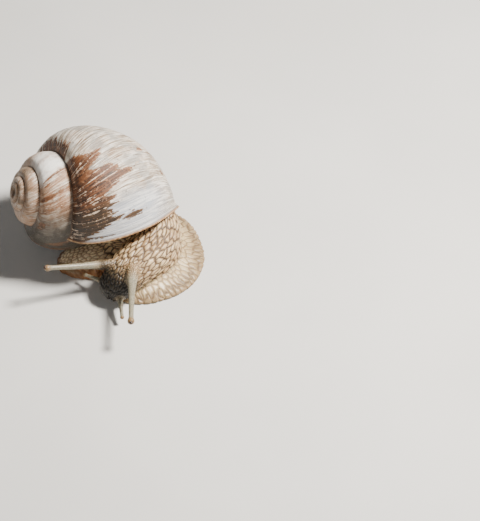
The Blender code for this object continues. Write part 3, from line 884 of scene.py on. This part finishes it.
def scatter_cells(points, regions):
    """Middles of the tubercles: spread evenly, each with its own direction and room."""
    room, stretch = regions.spacing(), regions.stretch()
    wanted = (regions.sole < 0.5) & (regions.feeler < 0.8)
    order = np.flatnonzero(wanted)
    order = order[scramble(points[order]).argsort()][:CELL_TRIES]
    places, kept = np.empty((len(order), 3)), []
    for i in order:
        gap = points[i] - places[:len(kept)]
        lengthwise = gap @ regions.way[i]
        across = (gap * gap).sum(1) - lengthwise**2
        if kept and ((lengthwise / stretch[i]) ** 2 + across).min() < (CELL_ROOM * room[i]) ** 2:
            continue
        places[len(kept)] = points[i]
        kept.append(i)
    return kept


def tubercles(points, regions):
    """For every point: distance to the nearest groove as a share of the room, and a number
    that is the same all over one tubercle."""
    cells = scatter_cells(points, regions)
    tree = kdtree.KDTree(len(cells))
    for number, i in enumerate(cells):
        tree.insert(points[i], number)
    tree.balance()
    near = np.array([[hit[1] for hit in tree.find_n(p, CELLS_NEAR)] for p in points])
    gap = points[:, None, :] - points[cells][near]
    way = regions.way[:, None, :]
    lengthwise = (gap * way).sum(2)
    across = np.maximum((gap * gap).sum(2) - lengthwise**2, 0.0)
    stretch = regions.stretch()[:, None]
    reach = (lengthwise / stretch) ** 2 + across
    order = reach.argsort(1)[:, :2]
    rows = np.arange(len(points))[:, None]
    first, second = reach[rows, order].T
    between = points[cells][near[rows, order]]
    link = between[:, 0] - between[:, 1]
    along = (link * regions.way).sum(1)
    wide = np.maximum((link * link).sum(1) - along**2, 0.0)
    link = np.sqrt((along / stretch[:, 0]) ** 2 + wide)
    edge = (second - first) / (2.0 * np.maximum(link, 1e-6))
    tone = scramble(points[cells] + 7.0)[near[rows, order][:, 0]]
    return np.clip(edge / regions.spacing() / GROOVE_AT, 0.0, 1.0), tone


def dress_flesh():
    """The skin with its tubercles and grooves, and the numbers its material reads."""
    flesh = make_flesh()
    points, normals = read_vertices(flesh)
    regions = Regions(points, normals)
    noise.seed_set(WOBBLE_SEED)
    wobble = np.array([noise.noise_vector(Vector(p) * WOBBLE_PITCH) for p in points])
    edge, tone = tubercles(points + WOBBLE * wobble, regions)
    flat = 1.0 + 0.4 * regions.skirt
    dome = 1.0 - (1.0 - np.clip(edge * flat, 0.0, 1.0)) ** 2
    lift = regions.height() * (dome - 0.7 + 0.35 * (tone - 0.5) * dome)
    lift += LIP_SWELL * regions.lips - SLIT_DEPTH * regions.slit
    points += normals * lift[:, None]
    low = regions.sole > 0.4
    points[low & (points[:, 2] < 0.3), 2] = 0.0
    points[:, 2] = np.maximum(points[:, 2], 0.0)
    write_points(flesh, points)
    regions.edge, regions.tone = edge * (1.0 - 0.9 * regions.slit), tone
    for name in FLESH_NUMBERS:
        write_attribute(flesh, name, getattr(regions, name))
    flesh.data.shade_smooth()
    return flesh


def make_eye(name, root, tip):
    """A glossy bead sunk in the tip of an upper feeler."""
    root, tip = (Vector(p) for p in about_centre([root, tip]))
    forward = (tip - root).normalized()
    centre = tip - forward * EYE_DEPTH + sideways(forward)[1] * EYE_RISE
    return ball(name, centre, forward, [EYE_RADIUS] * 3)


# ---- Materials


def srgb(red, green, blue):
    """A colour given as screen values from 0 to 255."""
    linear = []
    for value in (red, green, blue):
        value /= 255.0
        linear.append(value / 12.92 if value <= 0.04045 else ((value + 0.055) / 1.055) ** 2.4)
    return (*linear, 1.0)


class Paint:
    """A Principled material, with short calls for the nodes that feed it."""

    def __init__(self, name, roughness):
        self.material = bpy.data.materials.new(name)
        self.material.use_nodes = True
        self.tree = self.material.node_tree
        self.shader = self.tree.nodes["Principled BSDF"].inputs
        self.shade({"Roughness": roughness})

    def feed(self, inputs, values):
        """Links or sets inputs, by name or place. A tuple is a colour, given as screen values."""
        for key, value in values.items():
            if isinstance(value, bpy.types.NodeSocket):
                self.tree.links.new(value, inputs[key])
            else:
                inputs[key].default_value = srgb(*value) if isinstance(value, tuple) else value

    def node(self, kind, *values, **settings):
        node = self.tree.nodes.new("ShaderNode" + kind)
        for name, value in settings.items():
            setattr(node, name, value)
        self.feed(node.inputs, dict(enumerate(values)))
        return node

    def attribute(self, name):
        return self.node("Attribute", attribute_name=name).outputs["Fac"]

    def math(self, kind, *values):
        return self.node("Math", *values, operation=kind).outputs[0]

    def times(self, value, *others):
        for other in others:
            value = self.math("MULTIPLY", value, other)
        return value

    def plus(self, value, *others):
        for other in others:
            value = self.math("ADD", value, other)
        return value

    def spread(self, value, by):
        """A noise value's distance from its middle, so many times over."""
        return self.times(self.math("SUBTRACT", value, 0.5), by)

    def ramp(self, value, low=0.0, high=1.0, to_low=0.0, to_high=1.0):
        """An easy slope from one value to another while the input goes from low to high."""
        values = (value, low, high, to_low, to_high)
        return self.node("MapRange", *values, interpolation_type="SMOOTHSTEP").outputs[0]

    def mix(self, share, first, second):
        """The first colour, turning into the second as the share goes from 0 to 1."""
        node = self.node("Mix", share, data_type="RGBA")
        self.feed(node.inputs, {6: first, 7: second})
        return node.outputs[2]

    def coat(self, colour, *coats):
        """The colour with others laid over it in turn, each given after its share."""
        for share, over in coats:
            colour = self.mix(share, colour, over)
        return colour

    def noise(self, vector, scale, detail, rough, warp=0.0):
        node = self.node("TexNoise")
        self.feed(node.inputs, {"Vector": vector, "Scale": scale, "Detail": detail,
                                "Roughness": rough, "Distortion": warp})
        return node.outputs["Fac"]

    def grain(self, scale, detail=3.0, rough=0.5):
        """Noise in the object's own space, so many to a metre."""
        return self.noise(self.node("TexCoord").outputs["Object"], scale, detail, rough)

    def bump(self, height, distance, strength):
        node = self.node("Bump")
        self.feed(node.inputs, {"Strength": strength, "Distance": distance, "Height": height})
        self.shade({"Normal": node.outputs[0]})

    def shade(self, values):
        self.feed(self.shader, values)

    def wear(self, obj):
        obj.data.materials.clear()
        obj.data.materials.append(self.material)


# Dark brown for dirt and painted shade on the underside of the earlier whorls.
GRIME_AND_SHADE = (50, 43, 32)


def shell_paint():
    """Chalky white with fine growth lines, and brown where the outer layer is left."""
    paint = Paint("worn_shell", 0.42)
    mix, coat, ramp = paint.mix, paint.coat, paint.ramp
    times, plus, spread = paint.times, paint.plus, paint.spread
    age, angle = paint.attribute("age"), paint.attribute("angle")
    stain, inside = paint.attribute("stain"), paint.attribute("inside")

    def lines(fast, slow, detail, warp=0.0):
        """Streaks along the growth lines, so many to a radian of growth."""
        along = paint.node("CombineXYZ", times(age, fast), times(angle, slow))
        return paint.noise(along.outputs[0], 1.0, detail, 0.6, warp)

    streak, hair = lines(30.0, 1.8, 4.0, 0.3), lines(62.0, 2.2, 4.0)
    band = lines(7.0, 0.8, 3.0, 0.4)
    blotch = paint.grain(230.0, 5.0, 0.62)
    grain = paint.grain(1400.0, 4.0, 0.62)

    def streaked(dark, light):
        return mix(ramp(streak, 0.38, 0.62), dark, light)

    # The chalky white: bluish enamel by the lip, and a warm corner at the suture.
    grey = times(ramp(blotch, 0.46, 0.58), ramp(band, 0.35, 0.6, 0.3, 1.0), 0.70)
    tint = times(ramp(band, 0.50, 0.62), ramp(streak, 0.5, 0.6, 0.2, 0.8), 0.65)
    enamel = times(ramp(age, -0.80, -0.45), ramp(angle, -0.6, 0.2), ramp(angle, 1.5, 1.0), 0.75)
    warm = times(ramp(age, -0.55, -0.20), ramp(angle, 1.0, 1.5), 0.6)
    white = coat(
        mix(ramp(hair, 0.44, 0.56), (126, 104, 82), (202, 190, 174)),
        (ramp(streak, 0.49, 0.57, 0.0, 0.72), (240, 234, 224)), (grey, (132, 134, 132)),
        (tint, (172, 136, 108)), (enamel, streaked((178, 186, 200), (222, 224, 226))),
        (warm, (150, 116, 84)))

    # The earlier whorls: tan, dirty and darkened with painted shade below, and white on the crest of
    # the last but one.
    early = ramp(age, -5.6, -6.6)
    tan = times(early, ramp(plus(blotch, spread(band, 0.7)), 0.36, 0.54, 0.30, 0.95))
    dirt = times(ramp(age, -12.0, -14.0), ramp(blotch, 0.46, 0.58), 0.55)
    # Dirt and painted shade on the underside of the earlier whorls.
    grime_and_shade = times(ramp(age, -3.6, -4.7), ramp(age, -7.0, -6.1), ramp(blotch, 0.34, 0.56, 0.65, 0.97))
    thin = times(ramp(lines(16.0, 0.5, 2.0, 0.5), 0.64, 0.69), early, ramp(angle, 0.9, 1.3, 0.2, 0.8))
    crest = times(ramp(age, -8.9, -8.2), ramp(age, -7.4, -7.7), ramp(blotch, 0.62, 0.40, 0.35, 0.92))
    base = coat(
        white, (tan, streaked((136, 96, 68), (190, 156, 128))),
        (ramp(age, -19.0, -26.0, 0.0, 0.6), (150, 120, 92)), (dirt, (92, 88, 70)),
        (grime_and_shade, GRIME_AND_SHADE), (thin, (78, 44, 26)), (crest, (238, 237, 232)))

    # The brown outer layer: torn along the growth lines, with flakes of white in it.
    torn = plus(stain, spread(streak, 1.7), spread(blotch, 1.1), spread(grain, 0.9), spread(hair, 0.5))
    brown_share = ramp(torn, 0.44, 0.60)
    upper = ramp(age, -0.60, -0.90, 0.45, 1.0)
    bright = times(ramp(grain, 0.54, 0.68, 0.0, 0.7), upper)
    worn = times(ramp(torn, 0.55, 0.95, 0.6, 0.0), upper)
    gaps = plus(lines(30.0, 1.0, 4.0, 0.25), spread(blotch, 0.35), spread(grain, 0.4))
    brown = coat(
        streaked((34, 16, 7), (108, 66, 38)),
        (ramp(age, -0.85, -0.60, 0.0, 0.85), streaked((18, 12, 5), (58, 43, 20))),
        (bright, (158, 112, 78)), (worn, (158, 112, 76)),
        (ramp(gaps, 0.59, 0.64, 0.0, 0.9), (206, 182, 160)))

    # Dirt and painted shade low on the whorls, specks on all of it, the dark seams, the lip's edge and
    # the hollow behind it.
    specks = ramp(paint.grain(1000.0, 3.0, 0.6), 0.64, 0.70, 0.0, 0.85)
    specks = times(specks, ramp(blotch, 0.50, 0.58))
    seam = times(paint.attribute("seam"), ramp(blotch, 0.3, 0.6, 0.5, 0.95))
    rim = ramp(age, -0.034, -0.022)
    line = times(ramp(age, -0.056, -0.046), paint.math("SUBTRACT", 1.0, rim), 0.6)
    edge = mix(ramp(grain, 0.35, 0.65), (146, 102, 64), (188, 152, 112))
    colour = coat(
        base, (brown_share, brown), (times(grime_and_shade, 0.55), GRIME_AND_SHADE), (specks, (64, 42, 28)),
        (seam, (84, 60, 42)), (line, (112, 76, 46)), (rim, edge), (inside, (208, 186, 164)))
    rough = plus(ramp(brown_share, to_low=0.40, to_high=0.55), spread(grain, 0.25))
    paint.shade({"Base Color": colour, "Roughness": rough})
    height = plus(times(hair, 0.8), times(streak, 0.9), times(grain, 0.4), times(brown_share, 0.45))
    paint.bump(height, 0.00016, 1.0)
    return paint


SKIN_GLOSS = {
    "Subsurface Weight": 0.06,
    "Subsurface Scale": 0.0006,
    "Specular IOR Level": 0.35,
    "Coat Weight": 0.12,
    "Coat Roughness": 0.22,
}


def skin_paint():
    """Cream tubercles with brown grooves, paler on the skirt and greyer on the feelers, with painted
    shade in the grooves, on the face, in the crease and at the rim, painted light on the tail, painted
    glints on the tops, and painted shade and reflection on the tail's edge.
    """
    paint = Paint("snail_skin", 0.45)
    mix, coat, ramp, times = paint.mix, paint.coat, paint.ramp, paint.times
    edge, tone, skirt, crease_shade, margin = map(paint.attribute, FLESH_NUMBERS[:5])
    rim, tail, face, feeler, share, sole = map(paint.attribute, FLESH_NUMBERS[5:])
    grain = paint.grain(3200.0, 3.0, 0.6)
    patch = paint.grain(320.0, 3.0, 0.5)

    pale = mix(tone, (184, 160, 118), (212, 190, 148))
    pale = mix(times(margin, 0.75), pale, (134, 112, 82))
    # On the face, tops and grooves are its own dark brown deepened with painted shade.
    top = coat(
        mix(tone, (170, 138, 98), (216, 188, 146)),
        # The tail's tops and grooves are lightened with painted light against the shell's shadow.
        (face, (34, 27, 16)), (tail, (246, 226, 192)), (skirt, pale))
    # The grooves' brown is darkened with painted shade, near black on the face.
    groove = coat(
        mix(face, (60, 40, 23), (9, 6, 4)),
        (tail, (176, 146, 108)), (skirt, (128, 106, 78)), (times(margin, 0.7), (94, 76, 54)))
    narrow = times(edge, paint.math("MULTIPLY_ADD", skirt, 0.7, 1.0))
    rough_edge = paint.plus(paint.spread(grain, 0.35), narrow)
    dull = times(ramp(patch, 0.40, 0.66, 0.0, 0.35), ramp(face, 1.0, 0.0))
    # Pale flecks on the tubercle tops: painted glints standing in for wet highlights.
    light = times(ramp(grain, 0.52, 0.72), ramp(face, 0.0, 1.0, 0.4, 0.03), ramp(edge, 0.35, 0.8))
    # Orange-brown along the tail's lower edge: painted shade and warm reflection.
    tail_edge_shade_and_reflection = times(tail, skirt, ramp(patch, 0.3, 0.7, 0.9, 0.5))
    dots = ramp(paint.grain(7000.0, 2.0, 0.5), 0.52, 0.66, 0.0, 0.45)
    horn = coat(
        mix(ramp(grain, 0.30, 0.70), (108, 102, 86), (154, 148, 128)),
        (dots, (84, 72, 56)), (ramp(share, 0.90, 0.95, 0.0, 0.8), (128, 98, 62)))
    skin = coat(
        mix(ramp(rough_edge, 0.0, 0.66), groove, top),
        # Painted shade in the crease between neck and skirt.
        (dull, (118, 92, 66)), (light, (232, 214, 186)), (times(crease_shade, 0.45), (92, 78, 56)),
        # The skirt's rim: brownish, deepened with painted shade.
        (times(rim, 0.50), (142, 116, 84)), (tail_edge_shade_and_reflection, (142, 88, 44)), (feeler, horn),
        (sole, (176, 154, 124)))
    paint.shade({"Base Color": skin, "Roughness": ramp(edge, 0.0, 0.8, 0.60, 0.38)})
    paint.bump(paint.plus(times(grain, 0.5), times(patch, 0.3)), 0.00010, 0.8)
    paint.shade(SKIN_GLOSS)
    return paint


def eye_paint():
    paint = Paint("eye", 0.18)
    tint = paint.ramp(paint.grain(3000.0, 2.0), 0.3, 0.7)
    paint.shade({"Base Color": paint.mix(tint, (36, 25, 18), (74, 52, 36))})
    return paint


def floor_paint():
    paint = Paint("studio_floor", 0.85)
    tint = paint.ramp(paint.grain(20.0, 3.0), 0.3, 0.7)
    paint.shade({"Base Color": paint.mix(tint, (206, 205, 202), (212, 211, 208))})
    return paint


# ---- Stage

CAMERA_DISTANCE = 600.0
CAMERA_HEIGHT = math.radians(45.0)
SENSOR = 36.0
# How wide the view is at the snail, and how far AIM lies left of the picture's middle and above.
VIEW_WIDTH = 109.1778
AIM = (20.0, 0.0, 12.0)
AIM_LEFT = 31.250
AIM_ABOVE = 9.9255


def make_camera():
    """A long lens in front of the snail, turned aside so that the snail stands at the left."""
    data = bpy.data.cameras.new("camera")
    data.sensor_fit = "HORIZONTAL"
    data.sensor_width = SENSOR
    data.lens = SENSOR * CAMERA_DISTANCE / VIEW_WIDTH
    data.clip_start = 0.01
    data.clip_end = 20.0
    camera = new_object("camera", data)
    back = Vector((0.0, -math.cos(CAMERA_HEIGHT), math.sin(CAMERA_HEIGHT)))
    camera.location = (Vector(about_centre(AIM)) + back * CAMERA_DISTANCE) * MM
    turn = Matrix.Rotation(-math.atan(AIM_LEFT / CAMERA_DISTANCE), 3, "Y")
    turn = turn @ Matrix.Rotation(-math.atan(AIM_ABOVE / CAMERA_DISTANCE), 3, "X")
    camera.rotation_euler = (back.to_track_quat("Z", "Y").to_matrix() @ turn).to_euler()
    bpy.context.scene.camera = camera


# Each lamp's name, place and size in millimetres, power in watts, and colour.
LAMPS = (
    ("key", (170.0, -5.0, 280.0), 60.0, 3.6, (1.0, 0.95, 0.88)),
    ("fill", (-60.0, -320.0, 230.0), 240.0, 0.25, (1.0, 0.98, 0.95)),
)
SKY_COLOUR = (0.97, 0.97, 1.0, 1.0)
SKY_STRENGTH = 0.11
FLOOR_REACH = 2500.0
FLOOR_LEVEL = -0.03


def add_lamp(name, place, size, power, colour):
    """A soft square lamp that faces the snail."""
    data = bpy.data.lights.new(name, "AREA")
    data.shape = "SQUARE"
    data.size = size * MM
    data.energy = power
    data.color = colour
    lamp = new_object(name, data)
    lamp.location = Vector(place) * MM
    lamp.rotation_euler = Vector(place).to_track_quat("Z", "Y").to_euler()


def make_stage():
    corners = [(-1, -1), (1, -1), (1, 1), (-1, 1)]
    floor = [(x * FLOOR_REACH, y * FLOOR_REACH, FLOOR_LEVEL) for x, y in corners]
    floor = solid("floor", floor, [(0, 1, 2, 3)])
    floor_paint().wear(floor)
    for lamp in LAMPS:
        add_lamp(*lamp)
    world = bpy.data.worlds.new("studio")
    world.use_nodes = True
    sky = world.node_tree.nodes["Background"].inputs
    sky["Color"].default_value = SKY_COLOUR
    sky["Strength"].default_value = SKY_STRENGTH
    bpy.context.scene.world = world


make_camera()
make_stage()

shell = dress_shell()
shell_paint().wear(shell)
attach(shell, "root")
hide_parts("shell")

skin = dress_flesh()
skin_paint().wear(skin)
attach(skin, "root")
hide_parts(*FLESH_NODES)

eye_material = eye_paint()
for side in ("left", "right"):
    eye = make_eye("bead_" + side, *FEELERS["feeler_upper_" + side][:2])
    eye_material.wear(eye)
    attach(eye, "root")
    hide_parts("eye_" + side)
